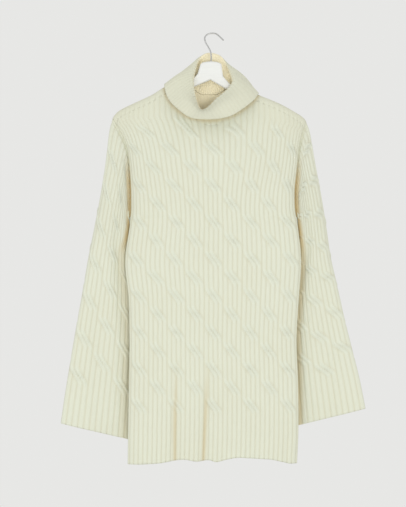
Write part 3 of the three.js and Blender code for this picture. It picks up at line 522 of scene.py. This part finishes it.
def sleeve_mesh(sleeve, hand):
    """A sleeve, as a part like a panel's; hand is -1 for the one on the photograph's left, and 1."""
    edge = left_edge if hand < 0 else right_edge
    tip = LEFT_TIP if hand < 0 else RIGHT_TIP
    at = {name: reading(sleeve, "up", name) for name in SLEEVE_COLUMNS.split()[1:]}
    half_count = SLEEVE_RIBS * POINTS_A_RIB // 2
    grid = []
    for up in SLEEVE_ROWS:
        value = {name: float(curve(up)) for name, curve in at.items()}
        wall = sleeve_wall(value, up, edge, tip)
        halves = []
        for side in (hand, -hand):
            places = even_places(wall(SAMPLES, side), half_count, 1 + value["crowd"] * SAMPLES**2)
            halves.append(wall(places, side))
        grid.append(np.concatenate((halves[0], halves[1][::-1][1:])))
    grid = np.array(grid)
    ribs = np.arange(SLEEVE_RIBS * POINTS_A_RIB + 1) / POINTS_A_RIB
    heights = SLEEVE_ROWS * SLEEVE_LONG
    knit_heights = np.broadcast_to(heights[:, None], grid.shape[:2])
    relief = cable_relief(ribs[None, :], knit_heights, 0, SLEEVE_CABLES, PLAIN_CUFF, SLEEVE_LONG - PLAIN_TOP)
    pitch = np.linalg.norm(np.roll(grid, -POINTS_A_RIB, axis=1) - grid, axis=2)
    relief = relief * np.clip(pitch / FULL_PITCH, 0.35, 1)
    relief = relief * smooth(1 - SLEEVE_ROWS, -0.02, 0.03)[:, None]
    normals = grid_normals(grid, True)
    shaded = armhole_shade(grid, normals, hand, edge)
    return dict(grid=grid, normals=normals, relief=relief, ribs=ribs, heights=heights, shaded=shaded)


# Collar

def collar_mesh(front, back):
    """The turned-down collar: from its free edge up over the fold and down inside to the neck seam."""
    low = int(NECK_RIB * POINTS_A_RIB)
    high = int((BODY_RIBS - NECK_RIB) * POINTS_A_RIB)
    places = np.concatenate([part["grid"][-1, low:high] for part in (front, back)])
    facing = np.concatenate([part["normals"][-1, low:high] for part in (front, back)])
    out = unit(np.cross(facing, np.roll(places, -1, axis=0) - np.roll(places, 1, axis=0)))
    inner = places - WALL * facing + SEAM_STEP * out
    closed = np.arange(len(inner) + 1) / len(inner)

    def seam_at(turn, values):
        loop = np.concatenate((values, values[:1]))
        return np.stack([np.interp(turn % 1, closed, loop[:, k]) for k in range(3)], axis=-1)

    def path(turn, names):
        return np.stack([reading(COLLAR, "turn", name)(turn % 1) for name in names], axis=-1)

    count = COLLAR_RIBS * POINTS_A_RIB
    turn = np.arange(count + 1) / count
    turn[-1] = 0
    wobble = np.stack((0 * turn, 0 * turn, 1.2 * np.sin(14 * math.pi * turn + 1)), axis=-1)
    edge = path(turn, EDGE_NAMES) + wobble
    fold = path(turn, FOLD_NAMES)
    along = unit(path(turn + TURN_STEP, FOLD_NAMES) - path(turn - TURN_STEP, FOLD_NAMES))

    def square_to(a, b):
        """The way from a to b, square to the fold's path."""
        d = b - a
        return unit(d - along * np.sum(d * along, axis=1, keepdims=True))

    seam, seam_up = seam_at(turn, inner), seam_at(turn, out)
    start = seam + COLLAR_START * unit(unit(fold - seam) + seam_up)
    down, inside = square_to(fold, edge), square_to(fold, start)
    up = -unit(down + inside)
    centre = fold - FOLD_RADIUS * up
    outward, inward = unit(np.cross(down, along)), unit(np.cross(along, inside))
    over_out = centre + FOLD_RADIUS * outward
    over_in = centre + FOLD_RADIUS * inward
    swell = reading(COLLAR, "turn", "swell")(turn)[:, None]
    swell = swell + 1.5 * np.sin(10 * math.pi * turn + 2)[:, None]
    belly = lerp(edge, over_out, 0.5) + swell * outward
    knots = np.array([edge, belly, over_out, fold, over_in, lerp(over_in, start, 0.5), start, seam])
    chords = np.linalg.norm(np.diff(knots, axis=0), axis=2)[..., None]
    slopes = np.empty_like(knots)
    slopes[1:-1] = (knots[2:] - knots[:-2]) / (chords[1:] + chords[:-1])
    slopes[0] = (knots[1] - knots[0]) / chords[0]
    slopes[-1] = (knots[-1] - knots[-2]) / chords[-1]
    rows = []
    for k, cuts in enumerate(COLLAR_CUTS):
        for t in np.arange(cuts) / cuts:
            rows.append(hermite(t, knots[k], knots[k + 1], slopes[k], slopes[k + 1], chords[k]))
    rows.append(knots[-1])
    grid = np.array(rows)
    ribs = np.arange(count + 1) / POINTS_A_RIB
    lengths = np.linalg.norm(np.diff(grid, axis=0), axis=2).mean(axis=1)
    heights = np.concatenate(([0], np.cumsum(lengths)))
    place = np.arange(len(grid))[:, None] / len(grid)
    # Plain ribs, lower outside than inside, and almost none at the neck seam
    relief = (dome(ribs - np.floor(ribs) - 0.5) * 1.5 - 0.5)[None, :]
    relief = relief * lerp(0.3, 0.8, smooth(place, 0.35, 0.55))
    relief = relief * smooth(1 - place, -0.02, 0.06)
    normals = grid_normals(grid, True)
    shaded = 0 * relief
    # From over the fold down inside to the neck seam, the collar gets painted warm light
    inside = smooth(place, 0.42, 0.55) + shaded
    return dict(
        grid=grid, normals=normals, relief=relief, ribs=ribs, heights=heights, shaded=shaded, inside=inside,
    )


# Objects

def new_object(name, data):
    made = bpy.data.objects.new(name, data)
    bpy.context.scene.collection.objects.link(made)
    return made


def smooth_object(name, mesh, material):
    mesh.polygons.foreach_set("use_smooth", [True] * len(mesh.polygons))
    mesh.materials.append(material)
    mesh.update()
    return new_object(name, mesh)


def point_values(mesh, name, outer, inner):
    """A value for the material at every point, of the outer face and then of the inner."""
    attribute = mesh.attributes.new(name, "FLOAT", "POINT")
    attribute.data.foreach_set("value", np.concatenate((outer, inner)))


def knit_object(name, part, wraps, material):
    """A closed thin shell: the ribbed outer face, a plain inner face and the rims between them."""
    outer = part["grid"] + part["normals"] * part["relief"][..., None]
    inner = part["grid"] - part["normals"] * WALL
    if wraps:
        outer, inner = outer[:, :-1], inner[:, :-1]
    rows, columns = outer.shape[:2]
    points = np.concatenate((outer.reshape(-1, 3), inner.reshape(-1, 3))) * MM
    half = rows * columns

    def corner(j, i, side):
        return side * half + j * columns + (i % columns if wraps else i)

    last = columns if wraps else columns - 1
    j, i = np.meshgrid(np.arange(rows - 1), np.arange(last), indexing="ij")
    j, i = j.ravel(), i.ravel()
    faces = []
    places = []

    def add(corners):
        """Faces from corners given as row, column and side, with rib number and knit height as their uv."""
        faces.append(np.stack([corner(a, b, side) for a, b, side in corners], axis=1))
        spots = [np.stack((part["ribs"][b], part["heights"][a]), axis=1) for a, b, _ in corners]
        places.append(np.stack(spots, axis=1))

    add([(j, i, 0), (j, i + 1, 0), (j + 1, i + 1, 0), (j + 1, i, 0)])
    add([(j, i, 1), (j + 1, i, 1), (j + 1, i + 1, 1), (j, i + 1, 1)])
    i = np.arange(last)
    low, top = 0 * i, 0 * i + rows - 1
    add([(low, i + 1, 0), (low, i, 0), (low, i, 1), (low, i + 1, 1)])
    add([(top, i, 0), (top, i + 1, 0), (top, i + 1, 1), (top, i, 1)])
    if not wraps:
        j = np.arange(rows - 1)
        first, end = 0 * j, 0 * j + columns - 1
        add([(j, first, 0), (j + 1, first, 0), (j + 1, first, 1), (j, first, 1)])
        add([(j + 1, end, 0), (j, end, 0), (j, end, 1), (j + 1, end, 1)])
    mesh = bpy.data.meshes.new(name)
    mesh.from_pydata(points.tolist(), [], np.concatenate(faces).tolist())
    layer = mesh.uv_layers.new(name="UVMap")
    layer.data.foreach_set("uv", (np.concatenate(places).reshape(-1, 2) * (1.0, 0.1)).ravel())
    # Painted shade: 0 on a rib's top and 1 in its valleys. It is more inside the neck, for the warmest tone,
    # which is painted warm light
    relief = part["relief"][:, :columns].ravel()
    hollow = np.clip(1 - (relief + RIB_DEEP) / (RIB_RISE + RIB_DEEP), -0.5, 1.5)
    if "inside" in part:
        hollow = lerp(hollow, 1.9 + 0.1 * hollow, part["inside"][:, :columns].ravel())
        in_neck = 0
    else:
        in_neck = smooth(part["grid"][:, :columns, 2].ravel(), -320, -230)
    point_values(mesh, "hollow", hollow, lerp(0.9, 1.8, in_neck) + 0 * hollow)
    shaded = part["shaded"][:, :columns].ravel()
    point_values(mesh, "shaded", shaded, 0 * shaded)
    return smooth_object(name, mesh, material)


# Materials

def material_nodes(name):
    material = bpy.data.materials.new(name)
    material.use_nodes = True
    tree = material.node_tree
    return material, tree, tree.nodes["Principled BSDF"]


def math_node(tree, operation, a, b=None, c=None):
    node = tree.nodes.new("ShaderNodeMath")
    node.operation = operation
    for socket, value in zip(node.inputs, (a, b, c)):
        if value is None:
            continue
        if isinstance(value, (int, float)):
            socket.default_value = value
        else:
            tree.links.new(value, socket)
    return node.outputs[0]


def noise_node(tree, scale, detail, vector):
    node = tree.nodes.new("ShaderNodeTexNoise")
    node.inputs["Scale"].default_value = scale
    node.inputs["Detail"].default_value = detail
    tree.links.new(vector, node.inputs["Vector"])
    return node.outputs[0]


def ramp_node(tree, factor, *stops):
    node = tree.nodes.new("ShaderNodeValToRGB")
    tree.links.new(factor, node.inputs[0])
    elements = node.color_ramp.elements
    while len(elements) < len(stops):
        elements.new(0.5)
    for element, (place, colour) in zip(elements, stops):
        element.position = place
        element.color = (*colour, 1)
    return node.outputs[0]


def attribute_node(tree, name):
    node = tree.nodes.new("ShaderNodeAttribute")
    node.attribute_name = name
    return node.outputs["Fac"]


def add_bump(tree, surface, height, strength, distance):
    bump = tree.nodes.new("ShaderNodeBump")
    bump.inputs["Strength"].default_value = strength
    bump.inputs["Distance"].default_value = distance
    tree.links.new(height, bump.inputs["Height"])
    tree.links.new(bump.outputs[0], surface.inputs["Normal"])


# Wool on top of the ribs, painted shade in their valleys, painted warm light inside the neck, and the painted
# warm shade in the creases
KNIT_LIGHT = (0.76, 0.785, 0.66)
KNIT_VALLEY_SHADE = (0.70, 0.69, 0.54)
INSIDE_WARM_LIGHT = (0.98, 0.90, 0.66)
SHADE = (0.60, 0.45, 0.20)
STITCHES_A_CM = 2.7
FIBRE_SCALE = 900
FLUFF_SCALE = 260
PATCH_SCALE = 9


def knit_material(name, stitches_a_rib):
    """Wool knit: V stitches along the ribs, fine fibres, painted warm shade in the valleys and painted warm
    light inside the neck, with a soft nap.
    """
    material, tree, surface = material_nodes(name)
    uv = tree.nodes.new("ShaderNodeTexCoord")
    split = tree.nodes.new("ShaderNodeSeparateXYZ")
    tree.links.new(uv.outputs["UV"], split.inputs[0])
    spot = uv.outputs["Object"]
    column = math_node(tree, "FRACT", math_node(tree, "MULTIPLY", split.outputs[0], stitches_a_rib))
    away = math_node(tree, "ABSOLUTE", math_node(tree, "SUBTRACT", column, 0.5))
    row = math_node(tree, "MULTIPLY", split.outputs[1], STITCHES_A_CM)
    leaning = math_node(tree, "MULTIPLY_ADD", away, 1.5, row)
    wave = math_node(tree, "SINE", math_node(tree, "MULTIPLY", leaning, 2 * math.pi))
    groove = math_node(tree, "MULTIPLY_ADD", away, -1.2, 0.6)
    stitch = math_node(tree, "MULTIPLY_ADD", wave, 0.35, groove)
    fibre = noise_node(tree, FIBRE_SCALE, 4, spot)
    fluff = noise_node(tree, FLUFF_SCALE, 3, spot)
    height = math_node(tree, "MULTIPLY_ADD", fibre, 0.9, stitch)
    height = math_node(tree, "MULTIPLY_ADD", fluff, 0.8, height)
    add_bump(tree, surface, height, 0.55, 0.0007)
    patches = math_node(tree, "MULTIPLY", noise_node(tree, PATCH_SCALE, 3, spot), 0.18)
    # Painted shade in the rib valleys and painted warm light inside the neck, read from the mesh
    tone = math_node(tree, "MULTIPLY_ADD", attribute_node(tree, "hollow"), 0.36, patches)
    tone = math_node(tree, "MULTIPLY_ADD", fibre, 0.12, tone)
    colour = ramp_node(tree, tone, (0.06, KNIT_LIGHT), (0.56, KNIT_VALLEY_SHADE), (0.8, INSIDE_WARM_LIGHT))
    # Warm shade laid over the colour by place
    mixed = tree.nodes.new("ShaderNodeMix")
    mixed.data_type = "RGBA"
    tree.links.new(attribute_node(tree, "shaded"), mixed.inputs[0])
    tree.links.new(colour, mixed.inputs[6])
    mixed.inputs[7].default_value = (*SHADE, 1)
    tree.links.new(mixed.outputs[2], surface.inputs["Base Color"])
    surface.inputs["Roughness"].default_value = 0.92
    surface.inputs["Specular IOR Level"].default_value = 0.15
    surface.inputs["Sheen Weight"].default_value = 0.30
    surface.inputs["Sheen Roughness"].default_value = 0.55
    surface.inputs["Sheen Tint"].default_value = (1, 0.98, 0.9, 1)
    return material


def paint_material():
    """White satin paint on wood, with a faint grain under it."""
    material, tree, surface = material_nodes("white_paint")
    spot = tree.nodes.new("ShaderNodeTexCoord").outputs["Object"]
    stretch = tree.nodes.new("ShaderNodeMapping")
    stretch.inputs["Scale"].default_value = (0.08, 1, 1)
    tree.links.new(spot, stretch.inputs[0])
    grain = noise_node(tree, 420, 3, stretch.outputs[0])
    add_bump(tree, surface, grain, 0.15, 0.0003)
    colour = ramp_node(tree, grain, (0.3, (0.80, 0.81, 0.79)), (0.7, (0.84, 0.85, 0.83)))
    tree.links.new(colour, surface.inputs["Base Color"])
    surface.inputs["Roughness"].default_value = 0.38
    return material


def wire_material():
    """Steel wire with fine marks."""
    material, tree, surface = material_nodes("steel_wire")
    spot = tree.nodes.new("ShaderNodeTexCoord").outputs["Object"]
    marks = noise_node(tree, 700, 2, spot)
    colour = ramp_node(tree, marks, (0.3, (0.42, 0.42, 0.42)), (0.75, (0.58, 0.58, 0.57)))
    tree.links.new(colour, surface.inputs["Base Color"])
    rough = math_node(tree, "MULTIPLY_ADD", marks, 0.15, 0.25)
    tree.links.new(rough, surface.inputs["Roughness"])
    surface.inputs["Metallic"].default_value = 1.0
    return material


# Hanger and hook

def hanger_object(material):
    """The wooden hanger: its outline, thickened with rounded edges."""
    left, right = ([(x, float(shoulder_line(x)) - WOOD_DROP) for x in xs] for xs in (WOOD_LEFT, WOOD_RIGHT))
    outline = [(-196, left[0][1] - 2), *left, *WOOD_HEAD, *right, *WOOD_UNDERSIDE]
    curve = bpy.data.curves.new("hanger_outline", "CURVE")
    curve.dimensions = "2D"
    curve.fill_mode = "BOTH"
    curve.extrude = (WOOD_THICK / 2 - WOOD_ROUND) * MM
    curve.bevel_depth = WOOD_ROUND * MM
    curve.bevel_resolution = 5
    curve.offset = -WOOD_ROUND * MM
    line = curve.splines.new("POLY")
    line.points.add(len(outline) - 1)
    line.use_cyclic_u = True
    for point, (x, z) in zip(line.points, outline):
        point.co = (x * MM, z * MM, 0, 1)
    holder = new_object("hanger_outline", curve)
    bpy.context.view_layer.update()
    mesh = bpy.data.meshes.new_from_object(holder.evaluated_get(bpy.context.evaluated_depsgraph_get()))
    bpy.data.objects.remove(holder)
    mesh.transform(Matrix.Rotation(math.pi / 2, 4, "X"))
    mesh.name = "wood"
    mesh.materials.clear()
    piece = smooth_object("wood", mesh, material)
    mesh.set_sharp_from_angle(angle=math.radians(35))
    return piece


def wire_object(material):
    """A round wire along the hook's middle line, with a rounded tip."""
    knots = np.array([(x, 0.0, z) for x, z in HOOK])
    chords = np.linalg.norm(np.diff(knots, axis=0), axis=1)
    places = np.concatenate(([0], np.cumsum(chords)))
    columns = {"s": places, "x": knots[:, 0], "z": knots[:, 2]}
    s = np.linspace(0, places[-1], WIRE_ROWS)
    tip = WIRE_RADIUS * np.sin(np.linspace(0, math.pi / 2, WIRE_TIP_ROWS + 1)[:-1])
    s = np.concatenate((s[:-1], places[-1] + tip))
    on_line = np.clip(s, 0, places[-1])
    x, z = reading(columns, "s", "x")(on_line), reading(columns, "s", "z")(on_line)
    line = np.stack((x, 0 * x, z), axis=1)
    run = np.gradient(line[:WIRE_ROWS], axis=0)
    run = unit(np.concatenate((run, np.repeat(run[-1:], len(line) - WIRE_ROWS, axis=0))))
    past = s - on_line
    line = line + run * past[:, None]
    radius = WIRE_RADIUS * np.sqrt(np.maximum(1 - (past / WIRE_RADIUS) ** 2, 0.02))[:, None, None]
    across = np.array((0.0, 1.0, 0.0))
    side = np.cross(run, across)[:, None]
    angle = (np.arange(WIRE_SIDES) / WIRE_SIDES * 2 * math.pi)[None, :, None]
    rings = line[:, None] + radius * (np.cos(angle) * side + np.sin(angle) * across)
    count = len(rings)
    points = (rings.reshape(-1, 3) * MM).tolist()
    faces = []
    for j in range(count - 1):
        for i in range(WIRE_SIDES):
            low, high, after = j * WIRE_SIDES, (j + 1) * WIRE_SIDES, (i + 1) % WIRE_SIDES
            faces.append([low + i, low + after, high + after, high + i])
    faces += [list(range(WIRE_SIDES - 1, -1, -1)), [(count - 1) * WIRE_SIDES + i for i in range(WIRE_SIDES)]]
    mesh = bpy.data.meshes.new("hook_wire")
    mesh.from_pydata(points, [], faces)
    return smooth_object("hook_wire", mesh, material)


# Pieces

knit = knit_material("cream_knit", 2.0)
collar_knit = knit_material("cream_rib", 1.0)
paint = paint_material()
steel = wire_material()

front_part = panel_mesh(FRONT)
back_part = panel_mesh(BACK)
sleeve_parts = {"left": sleeve_mesh(LEFT_SLEEVE, -1), "right": sleeve_mesh(RIGHT_SLEEVE, 1)}
collar_part = collar_mesh(front_part, back_part)
pieces = {
    "front": knit_object("front_knit", front_part, False, knit),
    "back": knit_object("back_knit", back_part, False, knit),
    "sleeve_left": knit_object("sleeve_left_knit", sleeve_parts["left"], True, knit),
    "sleeve_right": knit_object("sleeve_right_knit", sleeve_parts["right"], True, knit),
    "collar": knit_object("collar_knit", collar_part, True, collar_knit),
    "hanger": hanger_object(paint),
    "hook": wire_object(steel),
}
for node, piece in pieces.items():
    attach(piece, "root")
    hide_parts(node)


def flat_cut(part):
    """Width and length of the cut in metres: the longest row and the longest column of the bare cloth."""
    grid = part["grid"] * MM
    rows = np.linalg.norm(np.diff(grid, axis=1), axis=2).sum(axis=1)
    columns = np.linalg.norm(np.diff(grid, axis=0), axis=2).sum(axis=0)
    return float(rows.max()), float(columns.max())


def flat_area(part):
    """Area of the bare cloth in square metres, along its own points."""
    grid = part["grid"] * MM
    a = np.cross(grid[:-1, 1:] - grid[:-1, :-1], grid[1:, :-1] - grid[:-1, :-1])
    b = np.cross(grid[1:, 1:] - grid[1:, :-1], grid[1:, 1:] - grid[:-1, 1:])
    return float(np.linalg.norm(a, axis=2).sum() + np.linalg.norm(b, axis=2).sum()) / 2



for node, part, holder in (
    ("front", front_part, "wood"),
    ("back", back_part, "wood"),
    ("sleeve_left", sleeve_parts["left"], "front_knit"),
    ("sleeve_right", sleeve_parts["right"], "front_knit"),
    ("collar", collar_part, "front_knit"),
):
    flat_cut(part)
    flat_area(part)


# Studio, in metres

FLOOR_RADIUS = 1.25
FLOOR_SIDES = 96
FLOOR_Z = -1.2
FLOOR_COLOUR = (0.80, 0.80, 0.78, 1)
WALL_COLOUR = (0.80, 0.80, 0.785, 1)


def floor_object():
    mesh = bpy.data.meshes.new("floor")
    angles = np.linspace(0, 2 * math.pi, FLOOR_SIDES + 1)[:-1]
    ring = [(FLOOR_RADIUS * math.cos(a), FLOOR_RADIUS * math.sin(a), FLOOR_Z) for a in angles]
    mesh.from_pydata(ring, [], [list(range(FLOOR_SIDES))])
    material, _, surface = material_nodes("pale_floor")
    surface.inputs["Base Color"].default_value = FLOOR_COLOUR
    surface.inputs["Roughness"].default_value = 0.9
    mesh.materials.append(material)
    return new_object("floor", mesh)


def area_light(name, place, target, size, power):
    """A square light at a place, turned towards its target."""
    light = bpy.data.lights.new(name, "AREA")
    light.size = size
    light.energy = power
    lamp = new_object(name, light)
    lamp.location = place
    lamp.rotation_euler = (Vector(target) - Vector(place)).to_track_quat("-Z", "Y").to_euler()


floor = floor_object()
area_light("key", (0.6, -3.0, -1.0), (0, 0, -0.85), 1.0, 22)
area_light("fill", (-1.8, -2.4, -0.7), (0, 0, -0.7), 1.0, 9)

world = bpy.data.worlds.new("studio")
world.use_nodes = True
background = world.node_tree.nodes["Background"]
background.inputs[0].default_value = WALL_COLOUR
background.inputs[1].default_value = 1.0
bpy.context.scene.world = world
bpy.context.scene.view_settings.view_transform = "Standard"

camera = bpy.data.cameras.new("camera")
camera.sensor_width = SENSOR
camera.lens = SENSOR * DISTANCE / FRAME_TALL
viewer = new_object("camera", camera)
viewer.location = (FRAME_X * MM, -DISTANCE * MM, FRAME_Z * MM)
viewer.rotation_euler = (math.pi / 2, 0, 0)
bpy.context.scene.camera = viewer
